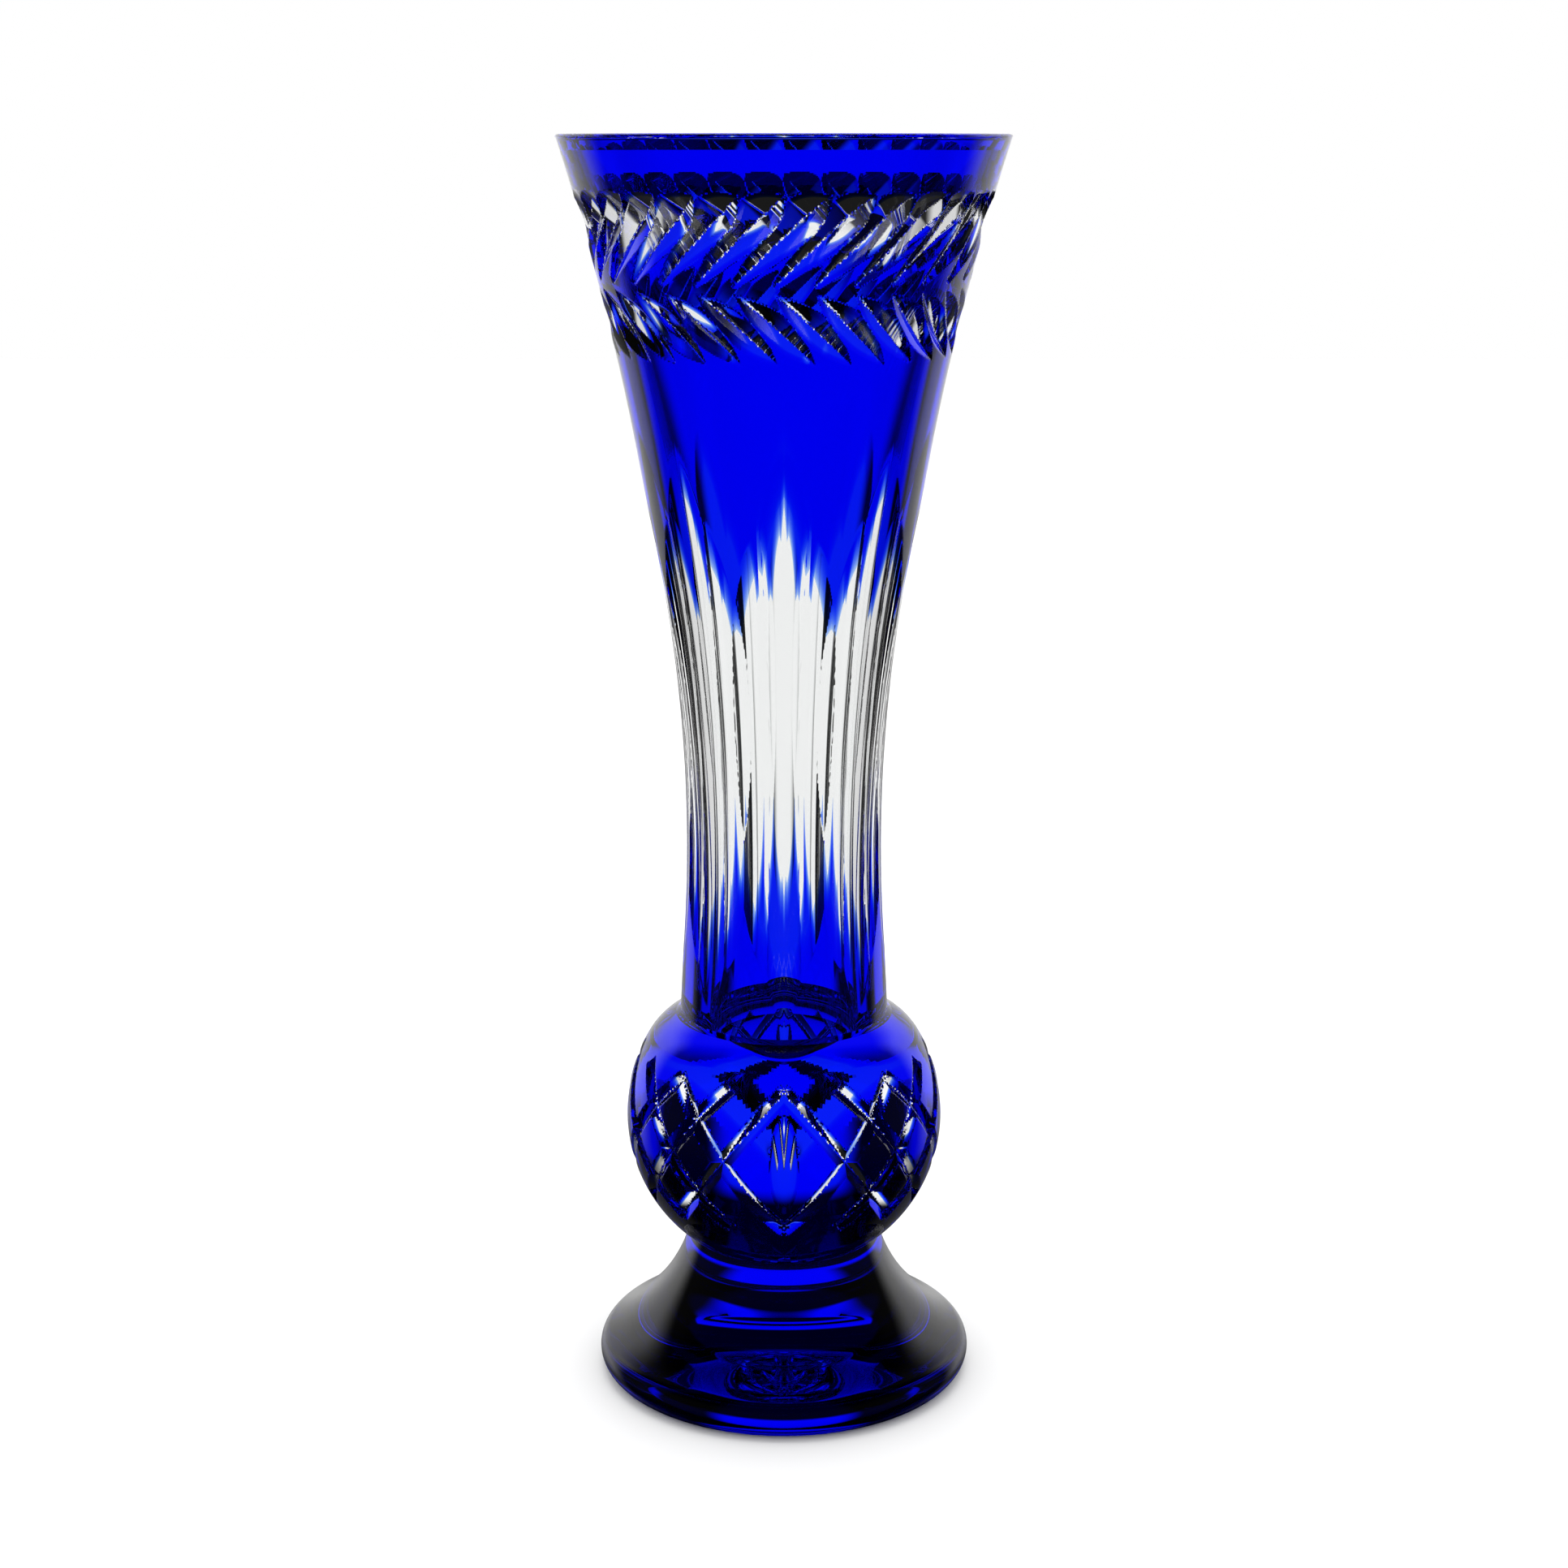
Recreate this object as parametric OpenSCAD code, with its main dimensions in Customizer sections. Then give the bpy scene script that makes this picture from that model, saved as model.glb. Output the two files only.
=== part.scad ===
// Footed crystal vase, cobalt casing cut through to clear glass.
// A trumpet mouth runs down through a fluted waist to a round bulb on a domed foot.

/* [Overall] */
// Height from the table to the rim
vase_h = 300; // [290:2:330]
// Thickness of the coloured glass skin
casing_t = 0.6; // [0.5:0.05:0.7]

/* [Trumpet] */
// Outer radius at the rim
rim_r = 51.7; // [48:0.1:56]
// Outer radius at the narrowest height
waist_r = 24.5; // [23.6:0.1:25.4]
// Height of the narrowest place
waist_z = 122; // [120:0.5:125]
// Wall thickness at the rim
rim_wall = 3; // [2.6:0.1:4]
// Wall thickness at the waist
waist_wall = 7.9; // [7:0.1:8.6]

/* [Bulb] */
// Outer radius at the widest place
bulb_r = 38.6; // [37:0.1:40]
// Height of the widest place
bulb_z = 66; // [65:0.5:67]
// Height where the shoulder meets the trumpet
shoulder_z = 92.5; // [91:0.5:94]
// Height above and below the widest place over which the bulb is a ball
ball_h = 19.5; // [19:0.25:20]
// Height of the hollow's floor; the bulb is solid below it
floor_z = 75; // [73:0.5:80]
// Radius of that floor's dish
floor_arc = 20; // [20:0.5:30]

/* [Foot] */
// Height of the joint between the bulb and the foot
neck_z = 35.5; // [34.5:0.5:37]
// Outer radius at that joint
neck_r = 23.5; // [22.8:0.1:24.8]
// Outer radius of the foot
foot_r = 46; // [44:0.5:50]
// Height of the foot's widest place
foot_edge_z = 4.8; // [4.3:0.1:4.9]
// Radius of the rounded edge of the foot
foot_round = 5; // [5:0.1:6]
// Slope of the foot's sweep where it leaves the neck
neck_lean = 15; // [8:0.5:18]
// Height where the coloured skin starts above the table
foot_skin_z = 0.5; // [0.3:0.1:1]
// Radius of the polished hollow under the foot
pontil_r = 17; // [12:1:22]
// Depth of the polished hollow under the foot
pontil_h = 2; // [1:0.5:4]

/* [Herringbone band] */
// Slanting cuts in each row of the band
band_n = 30; // [28:1:32]
// Angle from the front to the nearest cut's point on the ridge
band_turn = -2.5; // [-6:0.5:6]
// Height of the ridge between the two rows
spine_z = 267.5; // [264:0.5:270]
// Width of the ridge left uncut
spine_w = 2; // [1.5:0.5:3]
// Height of the upper row
upper_row_h = 12.5; // [11:0.5:14]
// Height of the lower row
lower_row_h = 15; // [14:0.5:16]
// Height that the upper cuts run on into the rim
upper_run_on = 4; // [3.5:0.1:4.5]
// Angle that an upper cut runs round the vase
upper_span = 22.5; // [21:0.5:23]
// Angle that a lower cut runs round the vase
lower_span = 24; // [22:0.5:25]
// Depth of an upper cut at its far end
upper_cut_d = 2.3; // [2.2:0.05:2.4]
// Depth of a lower cut at its far end
lower_cut_d = 1; // [0.8:0.05:1.2]
// Angle between the two faces of a cut
band_cut_angle = 127; // [126:0.5:130]

/* [Flutes] */
// Groups of flutes, each of one tall, two medium and one low flute
flute_groups = 8; // [8:1:9]
// Top of the tall flutes
tall_top = 232; // [229:0.5:235]
// Bottom of the tall flutes
tall_bottom = 96; // [95:0.5:98]
// Depth of the tall flutes halfway up
tall_d = 1.9; // [1.7:0.1:2.2]
// Top of the medium flutes
medium_top = 215.5; // [213:0.5:218]
// Bottom of the medium flutes
medium_bottom = 108; // [106:0.5:110]
// Depth of the medium flutes halfway up
medium_d = 1.7; // [1.5:0.1:1.9]
// Top of the low flutes
low_top = 198; // [195:0.5:200]
// Bottom of the low flutes
low_bottom = 133.5; // [131:0.5:136]
// Depth of the low flutes halfway up
low_d = 1.5; // [1.3:0.1:1.7]
// Slope of a flute's two faces
flute_slope = 2.5; // [2:0.5:4]
// Half the width of the wheel that grinds a flute
flute_half_w = 7; // [6.8:0.1:7.4]

/* [Bulb cutting] */
// Height from the widest place to the lattice's points
lattice_h = 17; // [16:0.5:18]
// Width of a lattice groove
groove_w = 3.9; // [3.5:0.1:4.2]
// Depth of a lattice groove
groove_d = 1.3; // [1.2:0.05:1.5]
// Height of the oval cut in each plain panel
oval_h = 24; // [20:1:25]
// Width of the oval cut
oval_w = 7.1; // [6.5:0.1:8]
// Depth of the oval cut
oval_d = 2.35; // [2.2:0.05:2.6]

/* [Hidden] */
$fn = 180;
eps = 0.01;
beyond = 2 * rim_r;
crystal = [0.93, 0.95, 0.97];
cobalt = [0.05, 0.12, 0.78];

// Radius of an arc that starts upright and has moved sideways by dr after a height dz
function arc_radius(dr, dz) = (dr * dr + dz * dz) / (2 * dr);

// Radius of the trumpet's outside at a height
flare_h = vase_h - waist_z;
flare_arc = arc_radius(rim_r - waist_r, flare_h);
flare_steps = 14;
function flare_r(z, inset = 0) =
    waist_r + flare_arc - sqrt(pow(flare_arc + inset, 2) - pow(z - waist_z, 2));

// Radius of the trumpet's inside at a height
bore_r = waist_r - waist_wall;
bore_arc = arc_radius(rim_r - rim_wall - bore_r, flare_h);
function bore_at(z) = bore_r + bore_arc - sqrt(pow(bore_arc, 2) - pow(z - waist_z, 2));

// Arcs that carry the ball on to the trumpet and to the neck: each one's centre lies on the
// line from the ball's centre to the point where the arc leaves it, at this share of the way
ball_end = [sqrt(pow(bulb_r, 2) - pow(ball_h, 2)), ball_h];
function centre_share(p, q) = (q * q - p * p) / (2 * (p * q - p * p));
upper_share = centre_share(ball_end, [flare_r(shoulder_z), shoulder_z - bulb_z]);
lower_share = centre_share(ball_end, [neck_r, bulb_z - neck_z]);

// The foot's round edge and the hollow sweep that runs from it up to the neck
edge_c = [foot_r - foot_round, foot_edge_z];
sweep_dr = neck_r - edge_c[0];
sweep_dz = neck_z - edge_c[1];
sweep_out = [cos(neck_lean), sin(neck_lean)];
sweep_arc = (pow(sweep_dr, 2) + pow(sweep_dz, 2) - pow(foot_round, 2))
    / (2 * (foot_round - [sweep_dr, sweep_dz] * sweep_out));
sweep_c = [neck_r, neck_z] + sweep_arc * sweep_out;

band_top_z = spine_z + spine_w / 2 + upper_row_h;
flute_mid_z = (low_top + low_bottom) / 2;
flute_steps = 6;
band_wheel = 4;
flute_reach = 14;
lattice_n = 4;
lattice_step = 360 / lattice_n;
lattice_overrun = 3;
groove_strokes = 4;

// ---- Half sections, in the plane of radius and height ----

// Round arc between two heights, filled back to the axis
module arc_fill(arc_r, centre, z0, z1) {
    intersection() {
        union() {
            translate(centre) circle(r = arc_r);
            translate([0, centre[1] - arc_r]) square([max(centre[0], eps), 2 * arc_r]);
        }
        translate([0, z0]) square([beyond, z1 - z0]);
    }
}

// Outside of the bowl, set in by a skin's thickness
module bowl_section(inset) {
    ball_z = bulb_z + ball_h;
    base_z = bulb_z - ball_h;
    upper_c = upper_share * ball_end;
    lower_c = lower_share * ball_end;
    steps = [for (i = [0:flare_steps]) shoulder_z + (vase_h - shoulder_z) * i / flare_steps];
    polygon(concat([[0, shoulder_z]], [for (z = steps) [flare_r(z, inset), z]], [[0, vase_h]]));
    arc_fill(bulb_r * (1 - upper_share) - inset, [upper_c[0], bulb_z + upper_c[1]], ball_z, shoulder_z);
    arc_fill(bulb_r - inset, [0, bulb_z], base_z, ball_z);
    arc_fill(bulb_r * (1 - lower_share) - inset, [lower_c[0], bulb_z - lower_c[1]], neck_z, base_z);
}

// Hollow inside the bowl
module hollow_section() {
    intersection() {
        difference() {
            translate([0, floor_z]) square([rim_r + 1, vase_h + 1 - floor_z]);
            translate([bore_r + bore_arc, waist_z]) circle(r = bore_arc);
        }
        union() {
            translate([0, floor_z + floor_arc]) {
                circle(r = floor_arc);
                square([rim_r + 1, vase_h]);
            }
        }
    }
}

// Foot, set in by a skin's thickness
module foot_section(inset) {
    joint = edge_c + (foot_round - inset) * (sweep_c - edge_c) / norm(sweep_c - edge_c);
    intersection() {
        translate(edge_c) circle(r = foot_round - inset);
        square([beyond, neck_z]);
    }
    difference() {
        polygon([[0, 0], [edge_c[0], 0], edge_c, joint, [joint[0], neck_z], [0, neck_z]]);
        translate(sweep_c) circle(r = sweep_arc + inset);
    }
}

// ---- Solids of revolution ----

module bowl_solid(inset) {
    rotate_extrude() bowl_section(inset);
}

// Coloured skin of the bowl between two heights
module bowl_skin(z0, z1) {
    rotate_extrude()
        intersection() {
            difference() {
                bowl_section(0);
                bowl_section(casing_t);
            }
            translate([0, z0]) square([beyond, z1 - z0]);
        }
}

// ---- Grinding wheels and what they cut ----

// Upright V flute at the front between two heights, depth d halfway up. Its two faces are
// the same curved panel, turned by the slope to either side of the valley.
module flute(top, bottom, d) {
    ends = [[flare_r(bottom), bottom], [flare_r(top), top]];
    across = ends[1] - ends[0];
    inward = [-across[1], across[0]] / norm(across);
    sag = across * across / (8 * flare_arc) + d;
    floor_pts = [for (i = [0:flute_steps])
        let (t = i / flute_steps) ends[0] + across * t + inward * sag * 4 * t * (1 - t)];
    mid_r = flare_r((top + bottom) / 2) - d;
    for (side = [0, 1])
        mirror([side, 0, 0])
            translate([0, -mid_r, 0])
                rotate([0, 0, -flute_slope])
                    rotate([90, 0, 90])
                        linear_extrude(height = flute_half_w)
                            polygon(concat([for (p = floor_pts) [mid_r - p[0], p[1]]],
                                           [[-flute_reach, top], [-flute_reach, bottom]]));
}

module flutes() {
    step = 90 / flute_groups;
    for (g = [0:flute_groups - 1])
        rotate([0, 0, 4 * g * step]) {
            flute(tall_top, tall_bottom, tall_d);
            rotate([0, 0, step]) flute(medium_top, medium_bottom, medium_d);
            rotate([0, 0, 2 * step]) flute(low_top, low_bottom, low_d);
            rotate([0, 0, 3 * step]) flute(medium_top, medium_bottom, medium_d);
        }
}

// Slanting V cut over an angle, from the surface at height z0 to depth d at height z1. It runs
// straight, so it is deeper halfway than a cut that follows the surface.
module slant_cut(z0, z1, span, d) {
    half = span / 2;
    r0 = flare_r(z0);
    r1 = flare_r(z1) - d;
    dx = (r0 + r1) * sin(half);
    dy = (r1 - r0) * cos(half);
    run = norm([dx, dy, z1 - z0]);
    wheel_w = band_wheel * tan(band_cut_angle / 2);
    translate([-r0 * sin(half), -r0 * cos(half), z0])
        rotate([0, atan2(dx, z1 - z0), 0])
            rotate([asin(dy / run), 0, 0])
                linear_extrude(height = run)
                    polygon([[0, 0], [-wheel_w, -band_wheel], [wheel_w, -band_wheel]]);
}

// Slanting cuts all round
module slant_row(z0, z1, span, d) {
    for (i = [0:band_n - 1])
        rotate([0, 0, i * 360 / band_n + band_turn + span / 2]) slant_cut(z0, z1, span, d);
}

module upper_row() {
    slant_row(spine_z + spine_w / 2, band_top_z + upper_run_on, upper_span, upper_cut_d);
}

module lower_row() {
    slant_row(spine_z - spine_w / 2, spine_z - spine_w / 2 - lower_row_h, lower_span, lower_cut_d);
}

// One V groove of the lattice, centred at the front, rising to the left (1) or to the right (-1).
// It follows the ball in short straight strokes.
module lattice_groove(side) {
    end_r = sqrt(pow(bulb_r, 2) - pow(lattice_h, 2));
    half_x = end_r * sin(lattice_step / 4);
    pitch = atan2(lattice_h, half_x);
    turn = 2 * asin(norm([lattice_h, half_x]) / bulb_r) + lattice_overrun;
    stroke = turn / groove_strokes;
    valley_r = bulb_r - groove_d;
    stroke_l = 2 * (bulb_r + groove_d) * tan(stroke / 2);
    translate([0, 0, bulb_z])
        rotate([0, side * pitch, 0])
            for (i = [0:groove_strokes - 1])
                rotate([0, 0, (i + 0.5) * stroke - turn / 2])
                    translate([0, -valley_r, 0])
                        rotate([90, 0, 90])
                            linear_extrude(height = stroke_l, center = true)
                                polygon([[0, 0], [-2 * groove_d, groove_w],
                                         [-2 * groove_d, -groove_w]]);
}

// Both grooves that are centred at an azimuth
module groove_pair(az) {
    rotate([0, 0, az]) {
        lattice_groove(1);
        lattice_groove(-1);
    }
}

module lattice() {
    for (i = [0:lattice_n - 1], j = [1:3]) groove_pair(i * lattice_step + j * lattice_step / 4);
}

// Oval cut at the front
module oval_cut() {
    across_r = 1 / (8 * oval_d / pow(oval_w, 2) - 1 / bulb_r);
    along_r = 1 / (8 * oval_d / pow(oval_h, 2) - 1 / bulb_r);
    translate([0, -bulb_r + oval_d - along_r, bulb_z])
        rotate([0, 90, 0])
            rotate_extrude() translate([along_r - across_r, 0]) circle(r = across_r);
}

module ovals() {
    for (i = [0:lattice_n - 1]) rotate([0, 0, i * lattice_step]) oval_cut();
}

// Diamond between four grooves at the front, as a bar from the axis outwards
module diamond_bar() {
    half_x = bulb_r * sin(lattice_step / 4);
    translate([0, 0, bulb_z])
        rotate([90, 0, 0])
            linear_extrude(height = beyond)
                polygon([[0, lattice_h], [half_x, 0], [0, -lattice_h], [-half_x, 0]]);
}

module all_diamond_bars() {
    for (i = [0:2 * lattice_n - 1]) rotate([0, 0, i * lattice_step / 2]) diamond_bar();
}

// ---- Sub-parts ----

module crystal_bowl() {
    color(crystal)
        difference() {
            bowl_solid(casing_t);
            rotate_extrude() hollow_section();
            flutes();
            upper_row();
            lower_row();
            lattice();
            ovals();
        }
}

module crystal_foot() {
    pontil_arc = (pow(pontil_r, 2) + pow(pontil_h, 2)) / (2 * pontil_h);
    color(crystal)
        difference() {
            rotate_extrude() foot_section(casing_t);
            translate([0, 0, pontil_h - pontil_arc]) sphere(r = pontil_arc);
        }
}

module rim_casing() {
    color(cobalt)
        difference() {
            bowl_skin(band_top_z, vase_h);
            upper_row();
        }
}

module trumpet_casing() {
    color(cobalt)
        difference() {
            bowl_skin(flute_mid_z, band_top_z);
            upper_row();
            lower_row();
            flutes();
        }
}

module shoulder_casing() {
    color(cobalt)
        difference() {
            bowl_skin(bulb_z, flute_mid_z);
            flutes();
            lattice();
            all_diamond_bars();
        }
}

module base_casing() {
    color(cobalt)
        difference() {
            bowl_skin(neck_z, bulb_z);
            lattice();
            all_diamond_bars();
        }
}

// Skin inside the diamond that faces an azimuth, before it is cut
module diamond_blank(az) {
    intersection() {
        bowl_skin(bulb_z - lattice_h - 1, bulb_z + lattice_h + 1);
        rotate([0, 0, az]) diamond_bar();
    }
}

// Plain panel with its oval
module panel(az) {
    color(cobalt)
        difference() {
            diamond_blank(az);
            groove_pair(az - lattice_step / 4);
            groove_pair(az + lattice_step / 4);
            rotate([0, 0, az]) oval_cut();
        }
}

// Four small diamonds
module diamonds(az) {
    color(cobalt)
        difference() {
            diamond_blank(az);
            groove_pair(az - lattice_step / 4);
            groove_pair(az);
            groove_pair(az + lattice_step / 4);
        }
}

module foot_casing() {
    color(cobalt)
        rotate_extrude()
            intersection() {
                difference() {
                    foot_section(0);
                    foot_section(casing_t);
                }
                translate([0, foot_skin_z]) square([beyond, neck_z - foot_skin_z]);
            }
}

crystal_bowl();
crystal_foot();
rim_casing();
trumpet_casing();
shoulder_casing();
panel(0);  // panel_front
panel(90);  // panel_right
panel(180);  // panel_back
panel(270);  // panel_left
diamonds(45);  // diamonds_front_right
diamonds(135);  // diamonds_back_right
diamonds(225);  // diamonds_back_left
diamonds(315);  // diamonds_front_left
base_casing();
foot_casing();
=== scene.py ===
import math

import bpy
import numpy as np
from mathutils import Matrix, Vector


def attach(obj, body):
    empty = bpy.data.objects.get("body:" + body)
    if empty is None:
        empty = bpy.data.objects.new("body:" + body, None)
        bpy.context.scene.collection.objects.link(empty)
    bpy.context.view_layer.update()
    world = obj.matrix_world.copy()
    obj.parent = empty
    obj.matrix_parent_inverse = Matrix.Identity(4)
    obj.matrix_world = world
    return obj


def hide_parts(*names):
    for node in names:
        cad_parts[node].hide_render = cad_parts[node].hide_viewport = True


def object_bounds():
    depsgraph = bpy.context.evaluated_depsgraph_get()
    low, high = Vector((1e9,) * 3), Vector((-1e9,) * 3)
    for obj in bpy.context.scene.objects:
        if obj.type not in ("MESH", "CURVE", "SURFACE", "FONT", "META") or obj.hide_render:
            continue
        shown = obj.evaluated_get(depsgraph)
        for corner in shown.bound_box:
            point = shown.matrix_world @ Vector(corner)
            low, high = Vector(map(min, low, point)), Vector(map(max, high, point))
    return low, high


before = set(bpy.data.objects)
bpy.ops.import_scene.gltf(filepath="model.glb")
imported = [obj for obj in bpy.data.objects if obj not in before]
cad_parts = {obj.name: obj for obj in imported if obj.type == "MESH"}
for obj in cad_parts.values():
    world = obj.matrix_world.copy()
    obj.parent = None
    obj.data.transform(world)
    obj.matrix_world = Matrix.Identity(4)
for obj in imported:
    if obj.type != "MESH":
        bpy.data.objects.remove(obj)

cad_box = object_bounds()

# ---- Sizes in millimetres, the same as the CAD's ----

MM = 0.001
VASE_H = 300.0
SKIN_T = 0.6  # blue casing
SKIN_INSET = 0.02  # how far the casing's face lies under the polished surface
RIM_R, WAIST_R, WAIST_Z = 51.7, 24.5, 122.0
RIM_WALL, WAIST_WALL = 3.0, 7.9
RIM_ROUND = 0.9
BULB_R, BULB_Z, BALL_H = 38.6, 66.0, 19.5
SHOULDER_Z, FLOOR_Z, FLOOR_ARC = 92.5, 75.0, 20.0
NECK_Z, NECK_R = 35.5, 23.5
FOOT_R, FOOT_EDGE_Z, FOOT_ROUND = 46.0, 4.8, 5.0
NECK_LEAN = math.radians(15)  # slope of the foot's sweep where it leaves the neck
FOOT_SKIN_Z = 0.5
PONTIL_R, PONTIL_H = 17.0, 2.0

BAND_N = 30
BAND_TURN = 0.79  # share of a pitch that the band is turned round by
SPINE_Z, SPINE_W = 267.5, 2.0  # the plain ridge between the band's rows
UPPER_H, UPPER_SPAN, UPPER_D = 14.2, 20.0, 2.6  # height, angle across and depth of a cut
LOWER_H, LOWER_SPAN, LOWER_D = 15.5, 25.0, 1.7
CUT_START, CUT_ENTRY = 0.45, 0.9  # depth at which an upper cut starts, and its slope before that
CUT_SLOPE = 0.5  # of a cut's two faces
CUT_HALF_W = 8.0
CUT_OVERLAP = 0.6  # how far a cut runs on into the ridge
RUN_OUT = 7.0  # length over which the wheel lifts out of an upper cut

FLUTE_GROUPS = 8
TALL, MEDIUM, LOW = (232.0, 96.0, 2.1), (215.5, 108.0, 1.7), (198.0, 133.5, 1.5)  # top, bottom, depth
FLUTE_ORDER = (TALL, MEDIUM, LOW, MEDIUM)
FLUTE_SLOPE = math.radians(5)  # of a flute's two faces
FLUTE_HALF_W = 8.0

LATTICE_N, LATTICE_H = 4, 17.0
GROOVE_W, GROOVE_D = 4.2, 1.5
GROOVE_END = math.radians(1.5)  # how far a groove runs on past the lattice's corners
OVAL_H, OVAL_W, OVAL_D = 24.0, 7.1, 1.88

COLUMNS = 960
PANEL_SIDE = 8  # degrees from a plain panel's oval to a place on its skin


# ---- Profile of the glass ----

def arc_radius(dr, dz):
    return (dr * dr + dz * dz) / (2 * dr)


FLARE_ARC = arc_radius(RIM_R - WAIST_R, VASE_H - WAIST_Z)
BORE_R = WAIST_R - WAIST_WALL
BORE_ARC = arc_radius(RIM_R - RIM_WALL - BORE_R, VASE_H - WAIST_Z)


def flare_r(z, inset=0.0):
    """Outside of the trumpet at a height, set in by a skin's thickness."""
    return WAIST_R + FLARE_ARC - np.sqrt((FLARE_ARC + inset) ** 2 - (z - WAIST_Z) ** 2)


def bore_r(z):
    """Inside of the trumpet at a height."""
    return BORE_R + BORE_ARC - np.sqrt(BORE_ARC ** 2 - (z - WAIST_Z) ** 2)


BALL_END = np.array([math.sqrt(BULB_R ** 2 - BALL_H ** 2), BALL_H])


def centre_share(q):
    """How far towards BALL_END the centre lies of the arc that runs on from the ball to q."""
    return (q @ q - BALL_END @ BALL_END) / (2 * (BALL_END @ q - BALL_END @ BALL_END))


UPPER_SHARE = centre_share(np.array([float(flare_r(SHOULDER_Z)), SHOULDER_Z - BULB_Z]))
LOWER_SHARE = centre_share(np.array([NECK_R, BULB_Z - NECK_Z]))


def bowl_r(z, inset=0.0):
    """Outside of the uncut bowl at heights z, set in by a skin's thickness."""
    h = z - BULB_Z

    def arc(share, side):
        radius = BULB_R * (1 - share) - inset
        rise = h - side * share * BALL_H
        return share * BALL_END[0] + np.sqrt(np.maximum(radius ** 2 - rise ** 2, 0))

    ball = np.sqrt(np.maximum((BULB_R - inset) ** 2 - h ** 2, 0))
    out = np.where(h > BALL_H, arc(UPPER_SHARE, 1), np.where(h < -BALL_H, arc(LOWER_SHARE, -1), ball))
    return np.where(z > SHOULDER_Z, flare_r(z, inset), out)


# ---- Cuts: each gives the radius that the wheel leaves, where it touches ----

def wrap(angle):
    return (angle + math.pi) % (2 * math.pi) - math.pi


def cut_flutes(r, th, z):
    """Upright V flutes whose floors are arcs."""
    count = len(FLUTE_ORDER) * FLUTE_GROUPS
    step = 2 * math.pi / count
    for i in range(count):
        top, bottom, depth = FLUTE_ORDER[i % len(FLUTE_ORDER)]
        a, b = np.array([float(flare_r(bottom)), bottom]), np.array([float(flare_r(top)), top])
        across = b - a
        chord = np.linalg.norm(across)
        sag = chord ** 2 / (8 * FLARE_ARC) + depth
        radius = chord ** 2 / (8 * sag) + sag / 2
        outward = np.array([across[1], -across[0]]) / chord
        hub = (a + b) / 2 + outward * (radius - sag)
        floor = hub[0] - np.sqrt(np.maximum(radius ** 2 - (z - hub[1]) ** 2, 0))
        side = wrap(th - i * step)
        facet = floor / np.maximum(np.cos(side) - np.abs(np.sin(side)) * math.tan(FLUTE_SLOPE), 0.2)
        near = (np.abs(side) * r < FLUTE_HALF_W) & (z > bottom - 1) & (z < top + 1)
        r = np.where(near, np.minimum(r, facet), r)
    return r


def cut_band(r, th, z):
    """Two rows of slanting V cuts that leave the ridge between them."""
    pitch = 2 * math.pi / BAND_N
    rows = (
        (SPINE_Z + SPINE_W / 2, UPPER_H, UPPER_SPAN, 1),
        (SPINE_Z - SPINE_W / 2, -LOWER_H, LOWER_SPAN, -1),
    )
    body = r.copy()
    for z0, height, span, row in rows:
        ring = float(flare_r(z0 + height / 2))
        run_x = math.radians(span) * ring
        length = math.hypot(run_x, height)
        ux, uz = run_x / length, height / length
        for i in range(BAND_N):
            x = wrap(th - (i + BAND_TURN) * pitch) * ring
            dz = z - z0
            s = x * ux + dz * uz
            q = -x * uz + dz * ux
            t = s / length
            if row > 0:
                # it sinks evenly, then the round wheel lifts out
                lift = 1 - np.clip((s - length) / RUN_OUT, 0, 1) ** 2
                sink = (CUT_START + (UPPER_D - CUT_START) * np.clip(t, 0, 1)) * lift
                sink = np.where(s < 0, CUT_START + s * CUT_ENTRY, sink)
            else:
                sink = LOWER_D * 4 * t * (1 - t)
            deep = sink - np.abs(q) * CUT_SLOPE
            near = (s > -1) & (s < length + RUN_OUT) & (np.abs(q) < CUT_HALF_W) & (dz * row > -CUT_OVERLAP)
            r = np.where(near, np.minimum(r, body - np.maximum(deep, 0)), r)
    return r


def cut_lattice(r, th, z):
    """V grooves along great circles of the ball."""
    end_r = math.sqrt(BULB_R ** 2 - LATTICE_H ** 2)
    step = 2 * math.pi / LATTICE_N / 4
    half_x = end_r * math.sin(step)
    pitch = math.atan2(LATTICE_H, half_x)
    turn = math.asin(math.hypot(LATTICE_H, half_x) / BULB_R) + GROOVE_END
    slope = GROOVE_D / (GROOVE_W / 2)
    h = z - BULB_Z
    body = r.copy()
    for i in range(LATTICE_N):
        for j in (1, 2, 3):
            for side in (1, -1):
                local = wrap(th - (4 * i + j) * step)
                near = (np.abs(local) < 1.3 * step) & (np.abs(h) < LATTICE_H + 3)
                rr = body.copy()
                for _ in range(3):
                    x, y = rr * np.sin(local), rr * np.cos(local)
                    off = x * math.sin(pitch) * side + h * math.cos(pitch)
                    along = x * math.cos(pitch) - side * h * math.sin(pitch)
                    ball = BULB_R - GROOVE_D + np.abs(off) * slope
                    rr = np.sqrt(np.maximum(ball ** 2 - h ** 2, 1))
                inside = np.abs(np.arctan2(along, y)) < turn
                r = np.where(near & inside, np.minimum(r, rr), r)
    return r


def cut_ovals(r, th, z):
    """Upright olive cut in each plain panel."""
    for i in range(LATTICE_N):
        side = wrap(th - i * 2 * math.pi / LATTICE_N)
        x = np.sin(side) * BULB_R
        bowl = 1 - (2 * x / OVAL_W) ** 2 - (2 * (z - BULB_Z) / OVAL_H) ** 2
        r = np.where(np.abs(side) < 0.5, r - OVAL_D * np.clip(bowl, 0, 1), r)
    return r


def rows_of(*spans):
    """Heights from the neck to the rim, closer together where the cutting is fine."""
    out = [np.arange(a, b, step * (1)) for a, b, step in spans]
    return np.concatenate(out + [[spans[-1][1]]])


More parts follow.
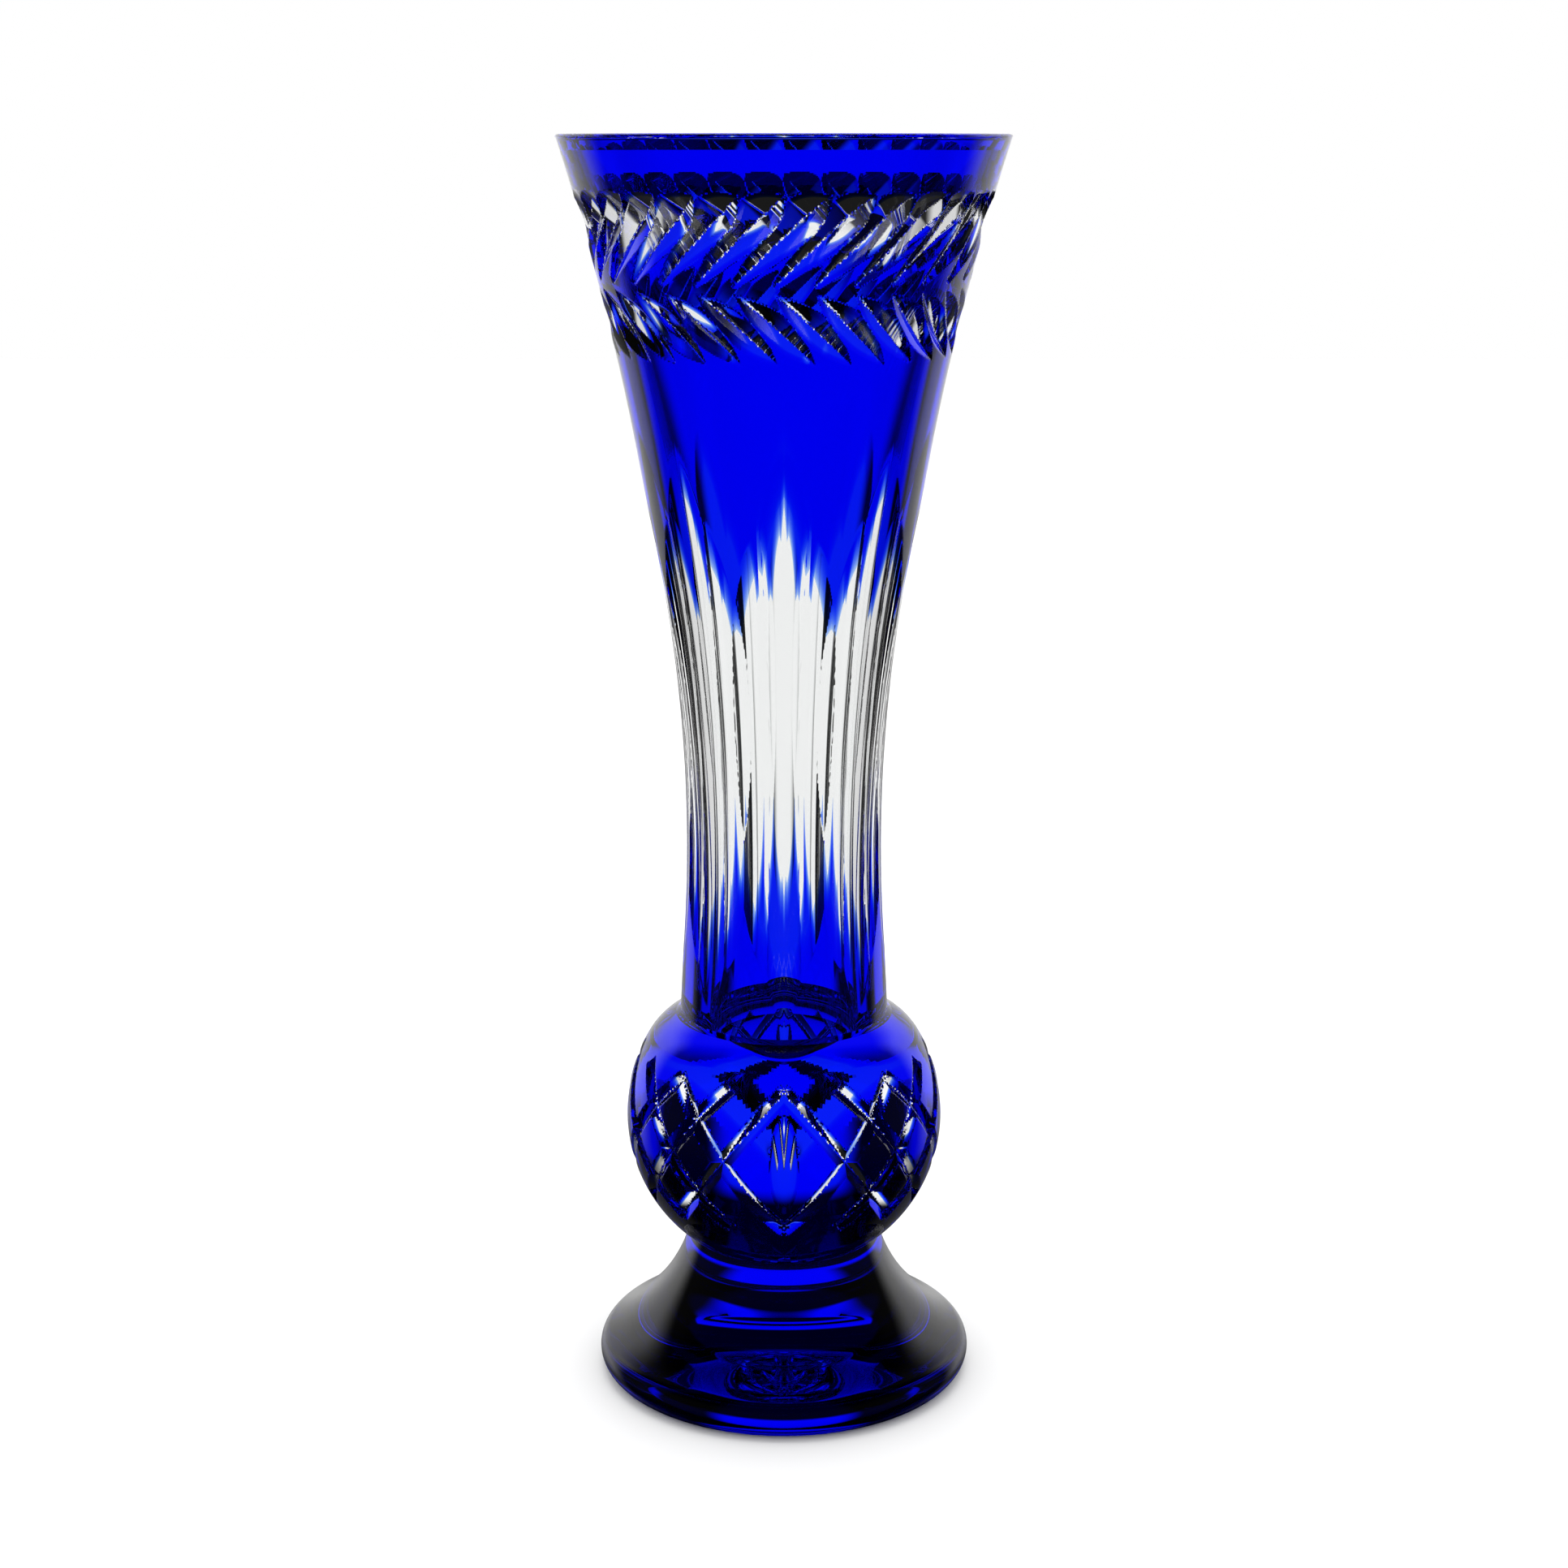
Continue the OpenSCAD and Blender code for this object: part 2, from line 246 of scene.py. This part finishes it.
TAPER = 0.15
ROWS = rows_of(
    (NECK_Z, NECK_Z + TAPER, TAPER), (NECK_Z + TAPER, 45, 0.9), (45, 87, 0.36), (87, 104, 1.0),
    (104, 225, 0.8), (225, 250, 1.5), (250, 290, 0.33), (290, VASE_H - RIM_ROUND - TAPER, 1.1),
    (VASE_H - RIM_ROUND - TAPER, VASE_H - RIM_ROUND, TAPER),
)
THETA = np.arange(COLUMNS) * 2 * math.pi / COLUMNS


def cut_surface():
    """Radius of the cut outside and of the casing's inner face, over heights and columns."""
    z, th = np.meshgrid(ROWS, THETA, indexing="ij")
    body = bowl_r(z)
    r = cut_flutes(body.copy(), th, z)
    r = cut_band(r, th, z)
    r = cut_lattice(r, th, z)
    r = cut_ovals(r, th, z)
    inner = bowl_r(z, SKIN_T)
    inner[0], inner[-1] = body[0], body[-1]
    return z, th, r, inner


# ---- Meshes ----

def points(r, th, z):
    return np.stack([r * np.sin(th), -r * np.cos(th), z], -1).reshape(-1, 3) * MM


def ring_quads(rings, columns, first=0):
    i, j = np.meshgrid(np.arange(rings - 1), np.arange(columns), indexing="ij")
    k = (j + 1) % columns
    quads = np.stack([i * columns + j, i * columns + k, (i + 1) * columns + k, (i + 1) * columns + j], -1)
    return quads.reshape(-1, 4) + first


def make_mesh(name, verts, faces, node_names, sharp):
    """A piece from vertices and faces (one array of triangles or of quads, or a list)."""
    mesh = bpy.data.meshes.new(name)
    arrays = faces if isinstance(faces, list) else [faces]
    arrays = [a for a in arrays if len(a)]
    loops = np.concatenate([a.ravel() for a in arrays]).astype(np.int32)
    sizes = np.concatenate([np.full(len(a), a.shape[1]) for a in arrays])
    mesh.vertices.add(len(verts))
    mesh.vertices.foreach_set("co", verts.astype(np.float32).ravel())
    mesh.loops.add(len(loops))
    mesh.loops.foreach_set("vertex_index", loops)
    mesh.polygons.add(len(sizes))
    mesh.polygons.foreach_set("loop_start", np.concatenate([[0], np.cumsum(sizes)[:-1]]).astype(np.int32))
    mesh.update(calc_edges=True)
    mesh.validate()
    mesh.shade_smooth()
    mesh.set_sharp_from_angle(angle=math.radians(sharp))
    obj = bpy.data.objects.new(name, mesh)
    bpy.context.scene.collection.objects.link(obj)
    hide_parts(*node_names)
    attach(obj, "root")
    return obj


def rim_and_hollow():
    """Profile of the rounded rim and the hollow, from the outside down to the floor's centre."""
    turn = np.radians(np.linspace(0, 90, 6)[1:])
    out_c, in_c = RIM_R - RIM_ROUND, RIM_R - RIM_WALL + RIM_ROUND
    top = VASE_H - RIM_ROUND
    outer = [(out_c + RIM_ROUND * math.cos(a), top + RIM_ROUND * math.sin(a)) for a in turn]
    inner = [(in_c - RIM_ROUND * math.sin(a), top + RIM_ROUND * math.cos(a)) for a in [0, *turn]]
    dish_z = FLOOR_Z + FLOOR_ARC
    side_z = min(np.linspace(FLOOR_Z, dish_z, 400), key=lambda z: abs(
        float(bore_r(z)) - math.sqrt(FLOOR_ARC ** 2 - (dish_z - z) ** 2)))
    bore = [(float(bore_r(z)), z) for z in np.linspace(top - 2, side_z, 70)]
    floor = [(r, dish_z - math.sqrt(FLOOR_ARC ** 2 - r * r))
             for r in np.linspace(float(bore_r(side_z)), 0.05, 30)[1:]]
    return np.array(outer + inner + bore + floor)


def foot_profile(inset):
    """Outside of the foot from the neck to the table, set in by a skin's thickness."""
    edge = np.array([FOOT_R - FOOT_ROUND, FOOT_EDGE_Z])
    dr, dz = NECK_R - edge[0], NECK_Z - edge[1]
    lean = np.array([math.cos(NECK_LEAN), math.sin(NECK_LEAN)])
    sweep = (dr * dr + dz * dz - FOOT_ROUND ** 2) / (2 * (FOOT_ROUND - dr * lean[0] - dz * lean[1]))
    centre = np.array([NECK_R, NECK_Z]) + sweep * lean
    to_edge = math.atan2(edge[1] - centre[1], edge[0] - centre[0])
    to_edge += 2 * math.pi if to_edge < 0 else 0
    upper = [centre + (sweep + inset) * np.array([math.cos(a), math.sin(a)])
             for a in np.linspace(math.pi + NECK_LEAN, to_edge, 40)]
    low = -math.asin(min(FOOT_EDGE_Z / (FOOT_ROUND - inset), 1))
    lower = [edge + (FOOT_ROUND - inset) * np.array([math.cos(a), math.sin(a)])
             for a in np.linspace(to_edge - math.pi, low, 40)[1:]]
    return np.array(upper + lower)


def revolve(profile, columns):
    th = np.arange(columns) * 2 * math.pi / columns
    r, t = np.meshgrid(profile[:, 0], th, indexing="ij")
    z = np.repeat(profile[:, 1][:, None], columns, 1)
    return points(r, t, z), ring_quads(len(profile), columns)


def build_bowl(z, th, r):
    """The clear bowl: its cut outside, rim and hollow. It is open at the neck, where the foot goes on."""
    inside = rim_and_hollow()
    verts, quads = revolve(inside, COLUMNS)
    outside = points(r, th, z)
    faces = [ring_quads(len(ROWS), COLUMNS)]
    join = np.arange(COLUMNS)
    top, start = (len(ROWS) - 1) * COLUMNS, len(outside)
    nxt = (join + 1) % COLUMNS
    faces.append(np.stack([top + join, top + nxt, start + nxt, start + join], -1))
    faces.append(quads + start)
    return make_mesh("crystal_bowl_glass", np.concatenate([outside, verts]), faces,
                     ["crystal_bowl"], sharp=7)


def build_foot():
    """The clear foot, open at the neck, with its ground ring and polished hollow underneath."""
    pontil_arc = (PONTIL_R ** 2 + PONTIL_H ** 2) / (2 * PONTIL_H)
    hollow = [(x, PONTIL_H - pontil_arc + math.sqrt(pontil_arc ** 2 - x * x))
              for x in np.linspace(PONTIL_R, 0.05, 12)]
    profile = np.concatenate([foot_profile(0), hollow])
    verts, quads = revolve(profile[::-1], COLUMNS)
    return make_mesh("crystal_foot_glass", verts, quads, ["crystal_foot"], sharp=30)


def clip_skin(name, own, z, th, outer, inner, nodes):
    """Closed skin between two faces, over the region own, cut off where it thins to nothing."""
    keep = outer > inner
    quads = ring_quads(len(ROWS), COLUMNS)
    tris = np.concatenate([quads[:, [0, 1, 2]], quads[:, [0, 2, 3]]])
    mine = (own.ravel()[tris] & keep.ravel()[tris]).any(1)
    tris = tris[mine]
    depth = (outer - inner).ravel()
    wet = depth[tris] > 0
    count = wet.sum(1)
    full = tris[count == 3]
    po, pi = points(outer, th, z), points(inner, th, z)

    def rolled(select, first):
        t, w = tris[select], wet[select]
        lead = np.argmax(w == first, 1)
        return np.take_along_axis(t, (lead[:, None] + np.arange(3)) % 3, 1)

    one, two = rolled(count == 1, True), rolled(count == 2, False)
    cuts = np.concatenate([one[:, [0, 1]], one[:, [0, 2]], two[:, [0, 1]], two[:, [0, 2]]])
    low, high = cuts.min(1), cuts.max(1)
    keys, back = np.unique(low.astype(np.int64) * len(po) + high, return_inverse=True)
    a, b = keys // len(po), keys % len(po)
    t = (depth[a] / (depth[a] - depth[b]))[:, None]
    edge = pi[a] + (pi[b] - pi[a]) * t
    n1, n2 = len(one), len(two)
    e = back.ravel() + 2 * len(po)
    e1, e2 = e[:n1], e[n1:2 * n1]
    f1, f2 = e[2 * n1:2 * n1 + n2], e[2 * n1 + n2:]
    out_tris = np.concatenate([full, np.stack([one[:, 0], e1, e2], -1)])
    out_quads = np.stack([f1, two[:, 1], two[:, 2], f2], -1)

    def inner_of(faces):
        return np.where(faces < len(po), faces + len(po), faces)[:, ::-1]

    verts = np.concatenate([po, pi, edge])
    faces = [out_tris, out_quads, inner_of(out_tris), inner_of(out_quads)]
    used = np.unique(np.concatenate([f.ravel() for f in faces]))
    renumber = np.zeros(len(verts), np.int64)
    renumber[used] = np.arange(len(used))
    return make_mesh(name, verts[used], [renumber[f] for f in faces], nodes, sharp=7)


def flood(keep, seed):
    """The connected region of keep that holds the seed."""
    grown = np.zeros_like(keep)
    grown[seed] = keep[seed]
    size = 0
    while grown.sum() > size:
        size = grown.sum()
        for _ in range(12):
            wide = grown | np.roll(grown, 1, 1) | np.roll(grown, -1, 1)
            wide[1:] |= wide[:-1].copy()
            wide[:-1] |= wide[1:].copy()
            grown = wide & keep
    return grown


def build_skins(z, th, r, inner):
    """The blue islands that the cutting leaves. Each takes its region once, so that none lies on another."""
    outer = r - SKIN_INSET
    keep = outer > inner

    def row(height):
        return int(np.argmin(np.abs(ROWS - height)))

    def column(degrees):
        return int(round((degrees % 360) / 360 * COLUMNS)) % COLUMNS

    free = keep.copy()

    def skin(name, *seeds):
        own = np.zeros_like(keep)
        for degrees, height in seeds:
            own |= flood(free, (row(height), column(degrees)))
        free[own] = False
        return clip_skin(name + "_glass", own, z, th, outer, inner, [name])

    half = LATTICE_H / 2
    step = 360 / LATTICE_N
    skins = [
        skin("rim_casing", (0, VASE_H - 6)),
        skin("trumpet_casing", (0, 236)),
        skin("shoulder_casing", (0, 92)),
        skin("base_casing", (0, 42)),
    ]
    for i, place in enumerate(("front", "right", "back", "left")):
        skins.append(skin("panel_" + place, (i * step + PANEL_SIDE, BULB_Z)))
    for i, place in enumerate(("front_right", "back_right", "back_left", "front_left")):
        az = (i + 0.5) * step
        skins.append(skin("diamonds_" + place, (az, BULB_Z + half), (az, BULB_Z - half),
                          (az - step / 8, BULB_Z), (az + step / 8, BULB_Z)))
    return skins


def build_foot_skin():
    """The foot's skin: a closed shell that ends at the neck and just above the table."""
    outer, inner = foot_profile(SKIN_INSET), foot_profile(SKIN_T)
    inner = inner[inner[:, 1] > FOOT_SKIN_Z]
    outer = outer[outer[:, 1] > FOOT_SKIN_Z]
    profile = np.concatenate([outer, inner[::-1], outer[:1]])
    verts, quads = revolve(profile[::-1], COLUMNS)
    return make_mesh("foot_casing_glass", verts, quads, ["foot_casing"], sharp=40)


# ---- Materials ----

def new_material(name):
    mat = bpy.data.materials.new(name)
    mat.use_nodes = True
    shader = mat.node_tree.nodes["Principled BSDF"]
    return mat, mat.node_tree, shader


def faint_ripple(tree, shader, scale, strength):
    """Very fine unevenness of a hand-polished surface."""
    noise = tree.nodes.new("ShaderNodeTexNoise")
    noise.inputs["Scale"].default_value = scale
    noise.inputs["Detail"].default_value = 1.0
    coords = tree.nodes.new("ShaderNodeTexCoord")
    bump = tree.nodes.new("ShaderNodeBump")
    bump.inputs["Strength"].default_value = strength
    bump.inputs["Distance"].default_value = 0.0002
    tree.links.new(coords.outputs["Object"], noise.inputs["Vector"])
    tree.links.new(noise.outputs["Fac"], bump.inputs["Height"])
    tree.links.new(bump.outputs["Normal"], shader.inputs["Normal"])


def clear_crystal():
    mat, tree, shader = new_material("clear_crystal")
    shader.inputs["Base Color"].default_value = (0.985, 0.992, 0.99, 1)
    shader.inputs["Roughness"].default_value = 0.0
    shader.inputs["IOR"].default_value = 1.545
    shader.inputs["Transmission Weight"].default_value = 1.0
    faint_ripple(tree, shader, 60, 0.06)
    return mat


def cobalt_casing():
    """Colour only: the skin lies inside the glass, so it has the same index and absorbs by its thickness."""
    mat, tree, shader = new_material("cobalt_casing")
    shader.inputs["Base Color"].default_value = (0.55, 0.72, 1.0, 1)
    shader.inputs["Roughness"].default_value = 0.0
    shader.inputs["IOR"].default_value = 1.0
    shader.inputs["Transmission Weight"].default_value = 1.0
    volume = tree.nodes.new("ShaderNodeVolumeAbsorption")
    volume.inputs["Color"].default_value = (0.0, 0.288, 0.9966, 1)
    volume.inputs["Density"].default_value = 9667.0
    output = tree.nodes["Material Output"]
    tree.links.new(volume.outputs["Volume"], output.inputs["Volume"])
    return mat


# ---- Studio, in metres ----

FLOOR_SIZE, SHADE_R = 3.0, 0.045
BACK_LIGHT, SIDE_LIGHT, FLOOR_LIGHT = 1.05, 0.75, 1.35

# Light over the angle from straight behind the vase (0) to behind the camera (180)
THROUGH = [(0, BACK_LIGHT), (13, BACK_LIGHT), (21, 0.012), (39, 0.012), (46, SIDE_LIGHT), (66, SIDE_LIGHT),
           (76, 0.02), (96, 0.02), (104, 0.5), (112, 0.5), (122, 0.02), (180, 0.02)]
MIRRORED = [(0, 1.0), (50, 0.9), (70, 0.03), (180, 0.01)]
# Light from straight down (0) over level (0.5) to straight up (1)
THROUGH_UP = [(0.0, 0.0), (0.17, 0.0), (0.25, 1.0), (0.5, 1.0), (0.55, 0.01), (0.9, 0.01), (0.97, 0.9),
              (1.0, 0.9)]
TABLE_UP = [(0.0, 0.0), (0.03, 0.0), (0.06, BACK_LIGHT), (0.17, BACK_LIGHT), (0.25, 0.0), (1.0, 0.0)]
MIRRORED_UP = [(0.0, 0.0), (0.25, 0.1), (0.45, 1.0), (0.7, 1.0), (0.85, 0.05), (1.0, 0.05)]

# The camera is level with the rim and looks a little down
LENS_MM, SENSOR_MM = 60.97, 36
CAMERA_BACK, CAMERA_OVER_RIM = 0.6171, 0.001
CAMERA_DOWN = 13.857
GLASS_BOUNCES = 40


def table_sheet(name, outline, depth, material, grey, roughness):
    """A flat sheet of scenery just under the table's height."""
    mesh = bpy.data.meshes.new(name)
    mesh.from_pydata([(x, y, 0) for x, y in outline], [], [list(range(len(outline)))])
    obj = bpy.data.objects.new(name, mesh)
    bpy.context.scene.collection.objects.link(obj)
    obj.location.z = -depth
    mat, _, shader = new_material(material)
    shader.inputs["Base Color"].default_value = (grey, grey, grey, 1)
    shader.inputs["Roughness"].default_value = roughness
    mesh.materials.append(mat)
    return obj, shader


def plain_floor():
    size = FLOOR_SIZE
    corners = [(-size, -size), (size, -size), (size, size), (-size, size)]
    obj, _ = table_sheet("floor", corners, 0.0002, "pale_floor", 0.86, 0.6)
    obj.visible_glossy = False
    obj.visible_transmission = False


def foot_shade():
    """Painted shadow: a black disc under the foot that stands in for the shade the vase casts on the table
    right under it; only rays that leave the glass downwards see it.
    """
    turn = [i * math.pi / 32 for i in range(64)]
    rim = [(SHADE_R * math.cos(a), SHADE_R * math.sin(a)) for a in turn]
    # painted shadow: a near-black, matte sheet where the table lies in the vase's shade
    obj, shader = table_sheet("foot_shade", rim, 0.0001, "painted_foot_shadow", 0.01, 1.0)
    shader.inputs["Specular IOR Level"].default_value = 0.0
    obj.visible_camera = False
    obj.visible_diffuse = False
    obj.visible_shadow = False


def light_wall(tree, source, stops):
    """Grey values at places from 0 to 1 along a coordinate, softly blended."""
    ramp = tree.nodes.new("ShaderNodeValToRGB")
    ramp.color_ramp.interpolation = "EASE"
    elements = ramp.color_ramp.elements
    elements[0].position, elements[1].position = stops[0][0], stops[-1][0]
    elements[0].color = (stops[0][1],) * 3 + (1,)
    elements[1].color = (stops[-1][1],) * 3 + (1,)
    for place, value in stops[1:-1]:
        elements.new(place).color = (value, value, value, 1)
    tree.links.new(source, ramp.inputs[0])
    return ramp.outputs["Color"]


def pick(tree, test, no, yes, kind="MIX"):
    """Mixes two colours by a share; each input is a value or a socket."""
    mix = tree.nodes.new("ShaderNodeMix")
    mix.data_type = "RGBA"
    mix.blend_type = kind
    mix.clamp_result = False
    for socket, value in (("Factor", test), ("A", no), ("B", yes)):
        if isinstance(value, (float, tuple)):
            mix.inputs[socket].default_value = value
        else:
            tree.links.new(value, mix.inputs[socket])
    return mix.outputs["Result"]


def math_node(tree, operation, *sources):
    node = tree.nodes.new("ShaderNodeMath")
    node.operation = operation
    for i, source in enumerate(sources):
        tree.links.new(source, node.inputs[i])
    return node.outputs[0]


def share_of(tree, source, low, high):
    """The source's place between low and high, from 0 to 1."""
    node = tree.nodes.new("ShaderNodeMapRange")
    node.inputs["From Min"].default_value = low
    node.inputs["From Max"].default_value = high
    tree.links.new(source, node.inputs["Value"])
    return node.outputs[0]


def studio_world():
    """White studio: upright light walls with dark gaps between them, and nothing bright underneath."""
    world = bpy.data.worlds.new("studio")
    bpy.context.scene.world = world
    world.use_nodes = True
    tree = world.node_tree
    nodes, links = tree.nodes, tree.links
    coords = nodes.new("ShaderNodeTexCoord")
    split = nodes.new("ShaderNodeSeparateXYZ")
    links.new(coords.outputs["Generated"], split.inputs[0])
    angle = math_node(tree, "ARCTAN2", split.outputs["X"], split.outputs["Y"])
    around = share_of(tree, math_node(tree, "ABSOLUTE", angle), 0, math.pi)
    height = share_of(tree, split.outputs["Z"], -1, 1)

    def product(by_angle, by_height):
        wall = light_wall(tree, around, [(degrees / 180, value) for degrees, value in by_angle])
        return pick(tree, 1.0, wall, light_wall(tree, height, by_height), "MULTIPLY")

    seen = pick(tree, 1.0, product(THROUGH, THROUGH_UP), light_wall(tree, height, TABLE_UP), "ADD")
    path = nodes.new("ShaderNodeLightPath")
    colour = pick(tree, path.outputs["Is Glossy Ray"], seen, product(MIRRORED, MIRRORED_UP))
    colour = pick(tree, path.outputs["Is Transmission Ray"], colour, seen)
    colour = pick(tree, path.outputs["Is Diffuse Ray"], colour, (FLOOR_LIGHT,) * 3 + (1,))
    colour = pick(tree, path.outputs["Is Camera Ray"], colour, (1.0, 1.0, 1.0, 1))
    links.new(colour, nodes["Background"].inputs["Color"])
    nodes["Background"].inputs["Strength"].default_value = 1.0


def soft_light(name, place, size, power, target):
    """A lamp that lights the floor but shows in no glass."""
    data = bpy.data.lights.new(name, "AREA")
    data.shape = "RECTANGLE"
    data.size, data.size_y = size
    data.energy = power
    obj = bpy.data.objects.new(name, data)
    obj.location = place
    obj.rotation_euler = (Vector(target) - Vector(place)).to_track_quat("-Z", "Y").to_euler()
    obj.visible_transmission = False
    obj.visible_glossy = False
    bpy.context.scene.collection.objects.link(obj)


def photo_camera(top):
    data = bpy.data.cameras.new("camera")
    data.lens = LENS_MM
    data.sensor_width = SENSOR_MM
    data.clip_start = 0.01
    obj = bpy.data.objects.new("camera", data)
    obj.location = (0.0, -CAMERA_BACK, top + CAMERA_OVER_RIM)
    obj.rotation_euler = (math.radians(90 - CAMERA_DOWN), 0, 0)
    bpy.context.scene.collection.objects.link(obj)
    bpy.context.scene.camera = obj


def main():
    z, th, r, inner = cut_surface()
    clear = [build_bowl(z, th, r), build_foot()]
    blue = build_skins(z, th, r, inner) + [build_foot_skin()]
    crystal, cobalt = clear_crystal(), cobalt_casing()
    for obj in clear:
        obj.data.materials.append(crystal)
    for obj in blue:
        obj.data.materials.append(cobalt)
    plain_floor()
    foot_shade()
    studio_world()
    soft_light("overhead", (0, 0.1, 1.6), (0.9, 0.9), 8, (0, 0, 0))
    photo_camera(cad_box[1][2])
    scene = bpy.context.scene
    scene.view_settings.view_transform = "Standard"
    scene.cycles.max_bounces = GLASS_BOUNCES
    scene.cycles.transmission_bounces = GLASS_BOUNCES
    scene.cycles.transparent_max_bounces = GLASS_BOUNCES
    scene.cycles.glossy_bounces = 12
    scene.cycles.volume_bounces = 2
    scene.cycles.use_denoising = True
    scene.cycles.sample_clamp_indirect = 8.0


main()
